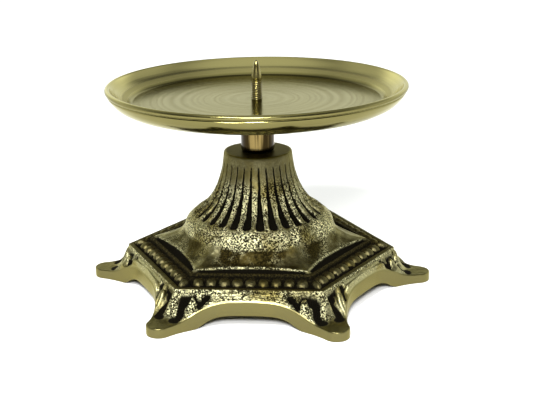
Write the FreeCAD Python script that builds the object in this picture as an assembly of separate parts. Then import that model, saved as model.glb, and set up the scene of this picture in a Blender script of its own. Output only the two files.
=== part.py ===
import FreeCAD, Part
import math
import os

# Brass pricket candle holder: a hollow cast foot with a fluted column, a spiked stud clamped through the
# column's top by a washer, a spring washer and a nut, a turned collar and a turned drip pan that screws
# down the stud onto the collar. Millimetres, +Z up. The origin is the centre of the plane it stands on,
# the feet point along 0, 60, ... 300 degrees from +X, and a flat side of the hexagon faces -Y.

os.makedirs("parts", exist_ok=True)

V = FreeCAD.Vector
UP = V(0, 0, 1)

# Driving dimensions
SIDES = 6
PITCH_ANGLE = 360.0 / SIDES

TOE_CENTRE_R = 71.1       # radius at which each toe's round tip is centred
SIDE_APOTHEM = 55.3       # outer face of the foot at the middle of a side
SIDE_FLAT_HALF = 8.0      # half length of the straight stretch there
SIDE_CURVE_R = 33.0       # hollow curve from that stretch to the toe
ARCH_HEIGHT = 5.4         # clear height under the middle of a side
TOE_HEIGHT = 4.2          # height of a toe's flat top

LEDGE_R = 60.4            # corner radius of the outer hexagonal ledge
LEDGE_Z = 15.4
SKIRT_FOOT_R = 66.6       # corner radius of the sloping skirt below the ledge
SKIRT_FOOT_Z = 8.0
CHANNEL_R = 57.8          # outer corner radius of the bead channel
CHANNEL_Z = 14.6
STEP_FOOT_R = 51.2        # corner radius of the inner step's foot, inside the bead channel
STEP_R = 50.0             # corner radius of the inner step's top
STEP_Z = 19.0
DOME_R = 47.6             # corner radius of the dome's foot
GROOVE_DEPTH = 1.6        # sunk crescent between the dome and the step, one on each side
GROOVE_WIDTH = 3.4        # at the middle of a side
GROOVE_INSET = 3.0        # from each corner to the crescent's end

BEADS_PER_SIDE = 10
BEAD_R = 1.95
BEAD_ROW_R = 54.7         # corner radius of the line of bead centres
BEAD_Z = 15.2
LEAF_BEAD_LENGTH = 3.4    # half length of the leaf-shaped bead at each corner

COLUMN_TOP_Z = 60.2
COLUMN_TOP_R = 15.0
SHOULDER_R = 33.4         # widest round of the shoulder below the flutes
SHOULDER_Z = 26.4
FLUTES = 30
FLUTE_TOP_R = 0.55        # half width of a flute at the neck
FLUTE_FOOT_R = 2.3        # and at its foot
FLUTE_START = 0.06        # where it starts and ends, as shares of the column's side
FLUTE_END = 0.92
CAVITY_TOP_Z = 55.4

THREAD_D = 4.85           # pricket stud, M5 class
THREAD_PITCH = 0.8
CLEARANCE = 0.05          # radial running clearance on the stud
STUD_FOOT_Z = 46.4
THREAD_TOP_Z = 90.0
TIP_Z = 99.6

PAN_R = 65.0
RIM_Z = 90.2
FLOOR_Z = 83.1
FLOOR_R = 54.1
PAN_UNDER_Z = 79.9
BOSS_R = 15.5
BOSS_Z = 75.5

COLLAR_R = 7.4
CLEARANCE_HOLE_R = 2.75   # hole through the column's top wall

WASHER_R = 5.0
WASHER_T = 1.0
SPRING_WASHER_R = 4.6
SPRING_WASHER_T = 1.2
SPRING_WASHER_GAP = 1.0
NUT_ACROSS_FLATS = 8.0
NUT_T = 4.0


def polar(radius, degrees, z=0.0):
    angle = math.radians(degrees)
    return V(radius * math.cos(angle), radius * math.sin(angle), z)


def line(a, b):
    return Part.LineSegment(a, b).toShape()


def curve(points):
    """A smooth edge through (radius, z) points in the XZ plane."""
    spline = Part.BSplineCurve()
    spline.interpolate([V(r, 0, z) for r, z in points])
    return spline.toShape()


def lathe(stretches):
    """Turn a closed profile about Z. Each stretch is a list of (radius, z) points: two make a straight
    edge and more make a smooth curve. Each stretch starts where the one before it ends."""
    edges = []
    for points in stretches:
        if len(points) == 2:
            edges.append(line(V(points[0][0], 0, points[0][1]), V(points[1][0], 0, points[1][1])))
        else:
            edges.append(curve(points))
    face = Part.Face(Part.Wire(edges))
    return face.revolve(V(0, 0, 0), UP, 360)


def chain(*points):
    """Straight stretches for lathe() through the given (radius, z) points."""
    return [[a, b] for a, b in zip(points, points[1:])]


def hexagon(corner_r, z):
    return Part.makePolygon([polar(corner_r, PITCH_ANGLE * k, z) for k in range(SIDES + 1)])


def frustum(low_r, low_z, high_r, high_z):
    return Part.makeLoft([hexagon(low_r, low_z), hexagon(high_r, high_z)], True, True)


def side_point(k, along, out, z=0.0):
    """A point on side k: along it, and out from the axis square to it."""
    normal = polar(1, PITCH_ANGLE * (k + 0.5))
    run = V(-normal.y, normal.x, 0)
    return normal * out + run * along + UP * z


def foot_outline():
    """The foot's plan: six straight stretches, each with a hollow curve to a round toe at both ends."""
    curve_centre = (SIDE_FLAT_HALF, SIDE_APOTHEM + SIDE_CURVE_R)
    half_pitch = math.radians(PITCH_ANGLE / 2)
    toe_centre = (TOE_CENTRE_R * math.sin(half_pitch), TOE_CENTRE_R * math.cos(half_pitch))
    dx = toe_centre[0] - curve_centre[0]
    dy = toe_centre[1] - curve_centre[1]
    meet_angle = math.atan2(dy, dx)
    start_angle = -math.pi / 2
    mid_angle = (meet_angle + start_angle) / 2

    def on_curve(angle):
        return (curve_centre[0] + SIDE_CURVE_R * math.cos(angle),
                curve_centre[1] + SIDE_CURVE_R * math.sin(angle))

    toe_r = math.hypot(dx, dy) - SIDE_CURVE_R
    middle = on_curve(mid_angle)
    meet = on_curve(meet_angle)
    edges = []
    for k in range(SIDES):
        left_meet = side_point(k, -meet[0], meet[1])
        left_mid = side_point(k, -middle[0], middle[1])
        left_flat = side_point(k, -SIDE_FLAT_HALF, SIDE_APOTHEM)
        right_flat = side_point(k, SIDE_FLAT_HALF, SIDE_APOTHEM)
        right_mid = side_point(k, middle[0], middle[1])
        right_meet = side_point(k, meet[0], meet[1])
        tip = polar(TOE_CENTRE_R + toe_r, PITCH_ANGLE * (k + 1))
        next_meet = side_point(k + 1, -meet[0], meet[1])
        edges.append(Part.Arc(left_meet, left_mid, left_flat).toShape())
        edges.append(line(left_flat, right_flat))
        edges.append(Part.Arc(right_flat, right_mid, right_meet).toShape())
        edges.append(Part.Arc(right_meet, tip, next_meet).toShape())
    return Part.Wire(edges)


def foot_flange():
    """The low star-shaped part. Its top falls from the skirt to the flat toes, and its underside rises
    from the toes' soles to an arch between each pair of them."""
    star = Part.Face(foot_outline()).extrude(UP * 20)
    beyond = TOE_CENTRE_R + 10
    section = lathe([
        [(0, ARCH_HEIGHT), (54.5, ARCH_HEIGHT)],
        [(54.5, ARCH_HEIGHT), (56.7, 4.6), (58.6, 3.2), (60.6, 1.1), (62.6, 0)],
        [(62.6, 0), (beyond, 0)],
        [(beyond, 0), (beyond, TOE_HEIGHT)],
        [(beyond, TOE_HEIGHT), (71, TOE_HEIGHT)],
        [(71, TOE_HEIGHT), (67.3, 4.6), (64, 5.9), (60.7, 8.2), (58, 9.9), (55, 11.4), (51, 12.6)],
        [(51, 12.6), (0, 12.6)],
        [(0, 12.6), (0, ARCH_HEIGHT)],
    ])
    return star.common(section), star


def toe_leaf(k):
    """The raised central rib of the leaf that runs from the ledge's corner down to the toe."""
    sections = []
    for radius, low, high, half in ((57.0, 6.0, 14.6, 2.6), (62.0, 3.0, 12.6, 2.5),
                                    (66.0, 2.5, 8.6, 2.2), (69.6, 2.0, 4.6, 1.2)):
        axis = polar(1, PITCH_ANGLE * k)
        across = V(-axis.y, axis.x, 0)
        corners = [axis * radius - across * half + UP * low,
                   axis * radius + across * half + UP * low,
                   axis * radius + across * (half * 0.55) + UP * (low + (high - low) * 0.85),
                   axis * radius + UP * high,
                   axis * radius - across * (half * 0.55) + UP * (low + (high - low) * 0.85)]
        sections.append(Part.makePolygon(corners + corners[:1]))
    return Part.makeLoft(sections, True, True)


def circle_by_sides(radius, z):
    """A circle of six equal arcs, so that a loft joins each arc to one side of a hexagon."""
    edges = []
    for k in range(SIDES):
        start = PITCH_ANGLE * k
        edges.append(Part.Arc(polar(radius, start, z), polar(radius, start + PITCH_ANGLE / 2, z),
                              polar(radius, start + PITCH_ANGLE, z)).toShape())
    return Part.Wire(edges)


def dome():
    """From the round shoulder below the flutes, out to the hexagonal step, with a ridge to each corner."""
    return Part.makeLoft([circle_by_sides(SHOULDER_R, SHOULDER_Z), hexagon(DOME_R, STEP_Z)], True, True)


COLUMN_SIDE = [(15.3, 57.4), (15.75, 54.2), (16.6, 50.0), (17.7, 46.4), (19.6, 42.0), (22.0, 38.2),
               (25.1, 35.0), (29.0, 32.2)]
SHOULDER = [(29.0, 32.2), (31.3, 30.5), (32.7, 28.6), (SHOULDER_R, SHOULDER_Z)]


def column():
    """The flared column above the dome, before its flutes are cut."""
    return lathe(chain((0, STEP_Z), (SHOULDER_R, STEP_Z), (SHOULDER_R, SHOULDER_Z))
                 + [SHOULDER[::-1]]
                 + [COLUMN_SIDE[::-1]]
                 + [[(15.3, 57.4), (15.15, 58.8), (COLUMN_TOP_R, 59.8)]]
                 + chain((COLUMN_TOP_R, 59.8), (14.6, COLUMN_TOP_Z), (0, COLUMN_TOP_Z), (0, STEP_Z)))


def flute_radius(share):
    """The flute's radius at a share of the way down the column's side."""
    return FLUTE_TOP_R + (FLUTE_FOOT_R - FLUTE_TOP_R) * share ** 1.6


def flute_cutter():
    """A round-bottomed groove along the column's side at angle 0: narrow at the neck, wide at the foot,
    where it ends in a round teardrop."""
    path = curve(COLUMN_SIDE)
    first, last = path.FirstParameter, path.LastParameter
    sections = []
    count = 9
    for i in range(count):
        share = FLUTE_START + (FLUTE_END - FLUTE_START) * i / (count - 1)
        at = first + (last - first) * share
        round_section = Part.Circle(path.valueAt(at), path.tangentAt(at), flute_radius(share))
        sections.append(Part.Wire(round_section.toShape()))
    teardrop = Part.makeSphere(flute_radius(FLUTE_END), path.valueAt(first + (last - first) * FLUTE_END))
    return Part.makeLoft(sections, True, False).fuse(teardrop)


def crescent(k):
    """The sunk crescent on side k, between the dome's curved edge and the straight step."""
    depth = STEP_Z - GROOVE_DEPTH
    flat = DOME_R * math.cos(math.radians(PITCH_ANGLE / 2))
    ends = [side_point(k, end * (DOME_R / 2 - GROOVE_INSET), flat - 0.3, depth) for end in (-1, 1)]
    inner = Part.Arc(ends[0], side_point(k, 0, flat - GROOVE_WIDTH, depth), ends[1]).toShape()
    return Part.Face(Part.Wire([inner, line(ends[1], ends[0])])).extrude(UP * 4)


def beads():
    """The course of round beads along each side, with a longer leaf-shaped bead at each corner."""
    stretch = FreeCAD.Matrix()
    stretch.scale(LEAF_BEAD_LENGTH / BEAD_R, 1, 1)
    leaf = Part.makeSphere(BEAD_R).transformGeometry(stretch)
    leaf.translate(V(BEAD_ROW_R - 0.5, 0, BEAD_Z))
    course = []
    for k in range(SIDES):
        start = polar(BEAD_ROW_R, PITCH_ANGLE * k, BEAD_Z)
        end = polar(BEAD_ROW_R, PITCH_ANGLE * (k + 1), BEAD_Z)
        for i in range(1, BEADS_PER_SIDE):
            course.append(Part.makeSphere(BEAD_R, start + (end - start) * (i / BEADS_PER_SIDE)))
        course.append(leaf.rotated(V(0, 0, 0), UP, PITCH_ANGLE * k))
    return course


def hollow():
    """The space inside the casting, open below, with a wall of 2 to 5 mm over it."""
    return lathe([
        [(0, -1), (50.6, -1)],
        [(50.6, -1), (50.6, 8)],
        [(50.6, 8), (48.6, 11.0), (43, 13.6), (36, 17.2), (29.5, 23.0), (26.4, 28.6), (22.6, 33.0)],
        [(22.6, 33.0), (18.0, 38.2), (14.9, 43.4), (13.0, 48.5), (11.8, CAVITY_TOP_Z)],
        [(11.8, CAVITY_TOP_Z), (0, CAVITY_TOP_Z)],
        [(0, CAVITY_TOP_Z), (0, -1)],
    ])


def base_casting():
    flange, star = foot_flange()
    skirt = frustum(SKIRT_FOOT_R, SKIRT_FOOT_Z, LEDGE_R, LEDGE_Z - 1.0).common(star)
    ledge = frustum(LEDGE_R, LEDGE_Z - 1.4, LEDGE_R, LEDGE_Z)
    channel = frustum(CHANNEL_R, CHANNEL_Z, CHANNEL_R, LEDGE_Z + 1)
    step = frustum(STEP_FOOT_R, LEDGE_Z - 3, STEP_R, STEP_Z)
    body = flange.fuse([skirt, ledge]).cut(channel).fuse([step, dome(), column()])

    cutter = flute_cutter()
    flutes = [cutter.rotated(V(0, 0, 0), UP, 360.0 / FLUTES * i) for i in range(FLUTES)]
    body = body.cut([crescent(k) for k in range(SIDES)] + flutes)
    body = body.fuse(beads() + [toe_leaf(k) for k in range(SIDES)])
    hole = Part.makeCylinder(CLEARANCE_HOLE_R, 20, V(0, 0, CAVITY_TOP_Z - 10))
    return body.cut([hollow(), hole])
def pricket_stud():
    """A threaded rod whose top is turned down to a blunt point."""
    r = THREAD_D / 2
    return lathe(chain((0, STUD_FOOT_Z), (r - 0.4, STUD_FOOT_Z), (r, STUD_FOOT_Z + 0.4), (r, THREAD_TOP_Z))
                 + [[(r, THREAD_TOP_Z), (2.2, 92.6), (1.5, 96.4), (0.85, 98.9)]]
                 + [[(0.85, 98.9), (0.55, 99.4), (0, TIP_Z)]]
                 + chain((0, TIP_Z), (0, STUD_FOOT_Z)))


def collar():
    """A turned spacer tube whose lower outer edge is rounded."""
    bore = THREAD_D / 2 + CLEARANCE
    return lathe(chain((bore, COLUMN_TOP_Z), (COLLAR_R - 0.8, COLUMN_TOP_Z))
                 + [[(COLLAR_R - 0.8, COLUMN_TOP_Z), (COLLAR_R - 0.25, COLUMN_TOP_Z + 0.35),
                     (COLLAR_R, COLUMN_TOP_Z + 1.2)]]
                 + chain((COLLAR_R, COLUMN_TOP_Z + 1.2), (COLLAR_R, BOSS_Z), (bore, BOSS_Z),
                         (bore, COLUMN_TOP_Z)))


def drip_pan():
    """A turned dish: flat floor, two fine steps, a hollow wall and a rounded lip with a groove under it."""
    bore = THREAD_D / 2 + CLEARANCE
    return lathe(chain((bore, BOSS_Z), (BOSS_R - 0.6, BOSS_Z), (BOSS_R, BOSS_Z + 0.6), (BOSS_R, PAN_UNDER_Z),
                       (51.0, PAN_UNDER_Z))
                 + [[(51.0, PAN_UNDER_Z), (56.4, 80.8), (60.4, 82.9), (62.9, 85.2), (64.2, 87.3)]]
                 + chain((64.2, 87.3), (64.0, 87.8), (64.5, 88.2))
                 + [[(64.5, 88.2), (PAN_R, 89.1), (64.6, 90.0), (63.9, RIM_Z)]]
                 + [[(63.9, RIM_Z), (63.1, 89.9), (61.6, 88.4), (59.6, 86.6), (57.6, 85.5)]]
                 + chain((57.6, 85.5), (57.2, 85.0), (56.2, 84.7), (55.9, 84.2))
                 + [[(55.9, 84.2), (55.2, 83.5), (FLOOR_R, FLOOR_Z)]]
                 + chain((FLOOR_R, FLOOR_Z), (bore, FLOOR_Z), (bore, BOSS_Z)))


def ring(outer_r, inner_r, thickness, top_z):
    outer = Part.makeCylinder(outer_r, thickness, V(0, 0, top_z - thickness))
    return outer.cut(Part.makeCylinder(inner_r, thickness * 3, V(0, 0, top_z - thickness * 2)))


def flat_washer():
    return ring(WASHER_R, CLEARANCE_HOLE_R, WASHER_T, CAVITY_TOP_Z)


def spring_washer():
    top = CAVITY_TOP_Z - WASHER_T
    whole = ring(SPRING_WASHER_R, CLEARANCE_HOLE_R, SPRING_WASHER_T, top)
    corner = V(0, -SPRING_WASHER_GAP / 2, top - 2 * SPRING_WASHER_T)
    return whole.cut(Part.makeBox(SPRING_WASHER_R + 1, SPRING_WASHER_GAP, 3 * SPRING_WASHER_T, corner))


def hex_nut():
    top = CAVITY_TOP_Z - WASHER_T - SPRING_WASHER_T
    corner = NUT_ACROSS_FLATS / math.sqrt(3)
    blank = Part.Face(hexagon(corner, top - NUT_T)).extrude(UP * NUT_T)
    chamfer = lathe(chain((0, top - NUT_T), (NUT_ACROSS_FLATS / 2 - 0.1, top - NUT_T),
                          (corner + 0.1, top - NUT_T + 0.6), (corner + 0.1, top), (0, top),
                          (0, top - NUT_T)))
    bore = Part.makeCylinder(THREAD_D / 2 + CLEARANCE, 3 * NUT_T, V(0, 0, top - 2 * NUT_T))
    return blank.common(chamfer).cut(bore)


PARTS = {
    "base_casting": base_casting,
    "pricket_stud": pricket_stud,
    "collar": collar,
    "drip_pan": drip_pan,
    "flat_washer": flat_washer,
    "spring_washer": spring_washer,
    "hex_nut": hex_nut,
}

for name, make in PARTS.items():
    shape = make()
    if len(shape.Solids) == 1:
        shape = shape.Solids[0]
    print(name, "valid", shape.isValid(), "solids", len(shape.Solids), "volume %.0f" % shape.Volume)
    shape.exportStep("parts/%s.step" % name)
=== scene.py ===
"""Looks of the brass pricket candle holder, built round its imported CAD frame.

Every profile and relief below is in millimetres and is scaled to metres when its mesh is made. The
materials, the camera and the lamps are in metres.
The casting is one structured skin: rings of points that run from the stud's hole over the fluted
column, the dome, the bead course and the leafy toes, and back inside the hollow.
"""
import math

import bpy
import numpy as np
from mathutils import Matrix, Vector, noise


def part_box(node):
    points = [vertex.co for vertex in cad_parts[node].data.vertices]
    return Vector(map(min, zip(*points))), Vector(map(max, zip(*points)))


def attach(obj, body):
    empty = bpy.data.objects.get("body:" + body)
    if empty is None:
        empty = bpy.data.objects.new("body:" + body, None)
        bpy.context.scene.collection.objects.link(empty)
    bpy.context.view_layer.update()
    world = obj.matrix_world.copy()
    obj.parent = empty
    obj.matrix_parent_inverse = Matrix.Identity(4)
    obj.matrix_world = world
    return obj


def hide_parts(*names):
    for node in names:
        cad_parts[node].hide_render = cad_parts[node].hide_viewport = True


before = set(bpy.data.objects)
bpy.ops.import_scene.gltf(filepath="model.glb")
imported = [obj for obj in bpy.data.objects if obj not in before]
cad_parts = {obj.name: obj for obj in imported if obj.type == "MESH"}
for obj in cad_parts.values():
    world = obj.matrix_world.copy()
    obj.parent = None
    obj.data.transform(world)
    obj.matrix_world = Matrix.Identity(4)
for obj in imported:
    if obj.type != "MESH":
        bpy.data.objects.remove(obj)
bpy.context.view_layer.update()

MM = 0.001


def box_mm(node):
    """The lowest and the highest corner of a CAD node, in millimetres."""
    return [corner * 1000 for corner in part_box(node)]


# ---------------------------------------------------------------- sizes read from the frame
COLUMN_TOP_Z = box_mm("base_casting")[1].z
STUD_LOW, STUD_HIGH = box_mm("pricket_stud")
COLLAR_LOW, COLLAR_HIGH = box_mm("collar")
PAN_LOW, PAN_HIGH = box_mm("drip_pan")
NUT_LOW, NUT_HIGH = box_mm("hex_nut")
FLAT_LOW, FLAT_HIGH = box_mm("flat_washer")
SPRING_LOW, SPRING_HIGH = box_mm("spring_washer")

STUD_R = STUD_HIGH.x
PAN_R = PAN_HIGH.x
RIM_Z = PAN_HIGH.z
BOSS_Z = PAN_LOW.z
COLLAR_R = COLLAR_HIGH.x
CEILING_Z = FLAT_HIGH.z

# ---------------------------------------------------------------- driving sizes of the casting
# The radius of a hexagonal part is measured to its corners.
SIDES = 6
COLUMNS_PER_SIDE = 100
COLUMNS = SIDES * COLUMNS_PER_SIDE
HALF_PITCH = math.pi / SIDES
COS_HALF = math.cos(HALF_PITCH)

HOLE_R = 2.75
SHOULDER_R = 33.4
SHOULDER_Z = 26.4
FLUTES = 30
FLUTE_TOP_Z = 56.6
FLUTE_FOOT = (29.0, 32.6)
PLAIN_NECK_Z = 58.6

DOME_CORNER_R = 47.6
DOME_EDGE_Z = 19.5
DOME_LIP = 0.1
GROOVE_WIDTH = 3.5
GROOVE_DEPTH = 2.0
STEP_CORNER_R = 50.0
STEP_Z = 18.4
CHANNEL_INNER_R = 51.0
CHANNEL_OUTER_R = 57.8
CHANNEL_Z = 14.3
BEAD_ROW_R = 54.0
BEAD_R = 2.62
BEAD_REACH = 3.3
BEAD_TOP = 3.1
BEAD_INSET = 0.8
BEADS_PER_SIDE = 10
LEDGE_R = 60.4
LEDGE_Z = 15.4
LEDGE_FACE = 1.3

LEAF_REACH = 15.8
VEE_PLACE = 10.4
PAD_INNER_R = 64.8
PAD_R = 67.0
TOE_CENTRE_R = 71.1
SIDE_APOTHEM = 55.3
SIDE_FLAT_HALF = 8.0
SIDE_CURVE_R = 33.0
ARCH_HEIGHT = 5.4
HOLLOW_R = 50.6


def smooth(x, low=0.0, high=1.0):
    """0 below low, 1 above high, and a smooth S between them."""
    t = np.clip((np.asarray(x, float) - low) / (high - low), 0, 1)
    return t * t * (3 - 2 * t)


def bell(x, width):
    """1 at 0, falling smoothly on both sides over about width."""
    return np.exp(-(np.asarray(x, float) / width) ** 2)


def run_along(points):
    """Distance from the first point to each point, along a line through them all."""
    return np.concatenate([[0], np.cumsum(np.hypot(*np.diff(points, axis=0).T))])


def curve_through(points, count):
    """Evenly spaced points on a smooth curve through the given (radius, height) points."""
    points = np.array(points, float)
    chord = run_along(points)
    slope = np.gradient(points, chord, axis=0)
    fine = np.linspace(0, chord[-1], 40 * len(points))
    k = np.clip(np.searchsorted(chord, fine, side="right") - 1, 0, len(points) - 2)
    span = chord[k + 1] - chord[k]
    t = ((fine - chord[k]) / span)[:, None]
    span = span[:, None]
    dense = ((2 * t**3 - 3 * t**2 + 1) * points[k] + (t**3 - 2 * t**2 + t) * span * slope[k]
             + (3 * t**2 - 2 * t**3) * points[k + 1] + (t**3 - t**2) * span * slope[k + 1])
    run = run_along(dense)
    at = np.linspace(0, run[-1], count)
    return np.stack([np.interp(at, run, dense[:, 0]), np.interp(at, run, dense[:, 1])], axis=1)


def grain(points, size, octaves=2, seed=0.0):
    """Smooth noise from -1 to 1 at each point, with bumps about size across."""
    shift = Vector((seed, 2.3 * seed, 5.1 * seed))
    flat = points.reshape(-1, 3) / size
    values = [noise.fractal(Vector(p) + shift, 1.0, 2.0, octaves) for p in flat]
    return np.array(values).reshape(points.shape[:-1])


# ---------------------------------------------------------------- meshes from rings of points
def ring_faces(start_a, count_a, start_b, count_b):
    """Faces between two rings, whose counts are equal or in the ratio 1 to 2."""
    faces = []
    if count_a == count_b:
        for i in range(count_a):
            j = (i + 1) % count_a
            faces.append((start_a + i, start_a + j, start_b + j, start_b + i))
    elif count_b == 2 * count_a:
        for i in range(count_a):
            j = (i + 1) % count_a
            b0, b1, b2 = start_b + 2 * i, start_b + 2 * i + 1, start_b + (2 * i + 2) % count_b
            faces += [(start_a + i, b1, b0), (start_a + i, start_a + j, b1), (start_a + j, b2, b1)]
    else:
        flipped = ring_faces(start_b, count_b, start_a, count_a)
        faces = [tuple(reversed(f)) for f in flipped]
    return faces


def mesh_object(name, points, faces, attributes=None, smooth_angle=None):
    """An object from points in millimetres, with one value a point for each attribute."""
    mesh = bpy.data.meshes.new(name)
    mesh.from_pydata((np.asarray(points) * MM).tolist(), [], faces)
    mesh.update()
    mesh.shade_smooth()
    for key, values in (attributes or {}).items():
        layer = mesh.attributes.new(key, "FLOAT", "POINT")
        layer.data.foreach_set("value", np.asarray(values, np.float32))
    if smooth_angle:
        mesh.set_sharp_from_angle(angle=math.radians(smooth_angle))
    piece = bpy.data.objects.new(name, mesh)
    bpy.context.scene.collection.objects.link(piece)
    return piece


def rings_object(name, rings, attributes=None, loop=False, capped=False, smooth_angle=None):
    """A skin over consecutive rings of points. With loop, the last ring joins the first. With capped,
    one face closes each end."""
    counts = [len(r) for r in rings]
    starts = np.concatenate([[0], np.cumsum(counts)[:-1]]).astype(int).tolist()
    faces = []
    last = len(rings) if loop else len(rings) - 1
    for k in range(last):
        n = (k + 1) % len(rings)
        faces += ring_faces(starts[k], counts[k], starts[n], counts[n])
    if capped:
        faces.append(tuple(reversed(range(counts[0]))))
        faces.append(tuple(range(starts[-1], starts[-1] + counts[-1])))
    return mesh_object(name, np.concatenate(rings), faces, attributes, smooth_angle)


def circle(radius, z, count):
    """One ring of evenly spaced points round the axis."""
    angle = np.arange(count) * 2 * math.pi / count
    return np.stack([radius * np.cos(angle), radius * np.sin(angle), np.full(count, z)], axis=1)


def turn(profile, count):
    """Rings of points from a (radius, height) profile turned about the axis."""
    return [circle(radius, z, count) for radius, z in profile]


# ---------------------------------------------------------------- materials
class Graph:
    """Short calls for adding nodes to one material, or to the world."""

    def __init__(self, owner, coordinates="Object"):
        owner.use_nodes = True
        self.owner = owner
        self.nodes, self.links = owner.node_tree.nodes, owner.node_tree.links
        self.shader = self.nodes.get("Principled BSDF") or self.nodes["Background"]
        self.place = self.nodes.new("ShaderNodeTexCoord").outputs[coordinates]

    def feed(self, value, socket):
        if isinstance(value, bpy.types.NodeSocket):
            self.links.new(value, socket)
        else:
            socket.default_value = value

    def math(self, operation, *values, clamp=False):
        node = self.nodes.new("ShaderNodeMath")
        node.operation = operation
        node.use_clamp = clamp
        for value, socket in zip(values, node.inputs):
            self.feed(value, socket)
        return node.outputs[0]

    def attribute(self, name):
        node = self.nodes.new("ShaderNodeAttribute")
        node.attribute_name = name
        return node.outputs["Fac"]

    def noise(self, scale, detail=3.0, roughness=0.55, place=None):
        node = self.nodes.new("ShaderNodeTexNoise")
        node.inputs["Scale"].default_value = scale
        node.inputs["Detail"].default_value = detail
        node.inputs["Roughness"].default_value = roughness
        self.links.new(place or self.place, node.inputs["Vector"])
        return node.outputs["Fac"]

    def ramp(self, value, low, high, out_low=0.0, out_high=1.0):
        """out_low at low, out_high at high, and a smooth S between them. low may be above high."""
        node = self.nodes.new("ShaderNodeMapRange")
        node.interpolation_type = "SMOOTHSTEP"
        self.feed(value, node.inputs["Value"])
        limits = {"From Min": low, "From Max": high, "To Min": out_low, "To Max": out_high}
        for key, number in limits.items():
            node.inputs[key].default_value = number
        return node.outputs["Result"]

    def mix(self, share, a, b):
        node = self.nodes.new("ShaderNodeMix")
        node.data_type = "RGBA"
        self.feed(share, node.inputs["Factor"])
        self.feed(a, node.inputs["A"])
        self.feed(b, node.inputs["B"])
        return node.outputs["Result"]

    def stretched(self, x, y, z):
        node = self.nodes.new("ShaderNodeMapping")
        node.inputs["Scale"].default_value = (x, y, z)
        self.links.new(self.place, node.inputs["Vector"])
        return node.outputs["Vector"]

    def split(self):
        """The three coordinates of the place."""
        node = self.nodes.new("ShaderNodeSeparateXYZ")
        self.links.new(self.place, node.inputs[0])
        return node.outputs

    def radius_and_height(self):
        """Distance from the turning axis, and height along it."""
        x, y, z = self.split()
        square = self.math("ADD", self.math("MULTIPLY", x, x), self.math("MULTIPLY", y, y))
        return self.math("SQRT", square), z

    def line_noise(self, value, scale, detail=2.0):
        """Noise that depends on one number only, such as the radius, so that it draws rings."""
        node = self.nodes.new("ShaderNodeTexNoise")
        node.noise_dimensions = "1D"
        node.inputs["Scale"].default_value = scale
        node.inputs["Detail"].default_value = detail
        self.links.new(value, node.inputs["W"])
        return node.outputs["Fac"]

    def bump(self, height, strength, distance, normal=None):
        node = self.nodes.new("ShaderNodeBump")
        self.feed(strength, node.inputs["Strength"])
        node.inputs["Distance"].default_value = distance
        self.links.new(height, node.inputs["Height"])
        if normal is not None:
            self.links.new(normal, node.inputs["Normal"])
        return node.outputs["Normal"]


def colour(r, g, b):
    """An opaque colour, with its alpha."""
    return (r, g, b, 1.0)


def cast_brass():
    """Sand-cast antique brass: grainy and patinated, and untarnished and smooth where it was ground. The
    mesh says where shade is painted near black in hollows and creases, where it is ground (polish), where it
    is grainy with bright painted glints on its grains, and where it is browned, partly by patina and partly
    by painted shade."""
    g = Graph(bpy.data.materials.new("cast_brass_mat"))
    cavity = g.attribute("cavity")
    polish = g.attribute("polish")
    rough_cast = g.math("SUBTRACT", 1.0, polish, clamp=True)
    mottle = g.noise(70, 4)
    patches = g.ramp(g.noise(130, 3, 0.6), 0.40, 0.54, 0.42, 1.0)
    sandy = g.math("MULTIPLY", g.math("MULTIPLY", g.attribute("sandy"), rough_cast), patches)
    grains = g.noise(1500, 2, 0.6)
    fine = g.noise(3000, 2, 0.5)
    tarnish = g.math("MULTIPLY", g.ramp(mottle, 0.46, 0.66), g.ramp(rough_cast, 0.0, 1.0, 0.15, 0.9))
    # Painted highlight: grainy places take a pale, bright brass that stands in for the lamps' glints, in
    # random patches; elsewhere the brass is dark olive. The grain's bumps below are real.
    bare_and_glint = g.mix(sandy, colour(0.145, 0.128, 0.051), colour(0.90, 0.87, 0.51))
    body = g.mix(tarnish, bare_and_glint, colour(0.20, 0.165, 0.045))
    # Patina and painted shade: browns the casting towards near black. Part of it is real patina, and part is
    # shade painted under the pan, on the dome's foot, the step, the beads, the ledge and the toes' pads.
    aged = g.attribute("aged")
    body = g.mix(aged, body, colour(0.034, 0.026, 0.007))
    pits = g.math("MULTIPLY", g.ramp(grains, 0.57, 0.49), g.ramp(sandy, 0.05, 0.55))
    body = g.mix(g.math("MULTIPLY", pits, 0.98), body, colour(0.009, 0.007, 0.002))
    # Painted shade: the shade values, broken up by the grain, turn the brass near black, duller and less
    # metallic in hollows and creases.
    edge = g.math("ADD", cavity, g.math("MULTIPLY", g.math("SUBTRACT", grains, 0.5), 0.7))
    dark = g.ramp(edge, 0.22, 0.55)
    body = g.mix(dark, body, colour(0.003, 0.0025, 0.0015))
    g.feed(body, g.shader.inputs["Base Color"])
    g.feed(g.ramp(dark, 0.0, 1.0, 1.0, 0.1), g.shader.inputs["Metallic"])
    rough = g.math("ADD", g.ramp(polish, 0.0, 1.0, 0.28, 0.30), g.math("MULTIPLY", dark, 0.5))
    rough = g.math("ADD", rough, g.math("MULTIPLY", sandy, 0.03))
    rough = g.math("ADD", rough, g.math("MULTIPLY", aged, 0.20))
    g.feed(g.math("ADD", rough, g.math("MULTIPLY", tarnish, 0.12)), g.shader.inputs["Roughness"])
    sand = g.bump(fine, g.math("MULTIPLY", sandy, 0.6), 0.0003)
    lumps = g.bump(grains, sandy, 0.0007, sand)
    uneven = g.bump(g.noise(330, 3), g.math("MULTIPLY", rough_cast, 0.35), 0.0012, lumps)
    filed = g.noise(260, 3, 0.6, g.stretched(1, 1, 14))
    g.shader.inputs["Specular IOR Level"].default_value = 0.02
    g.shader.inputs["Specular Tint"].default_value = colour(0.88, 0.84, 0.60)
    g.feed(g.bump(filed, g.math("MULTIPLY", polish, 0.10), 0.0005, uneven), g.shader.inputs["Normal"])
    return g.owner


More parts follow.
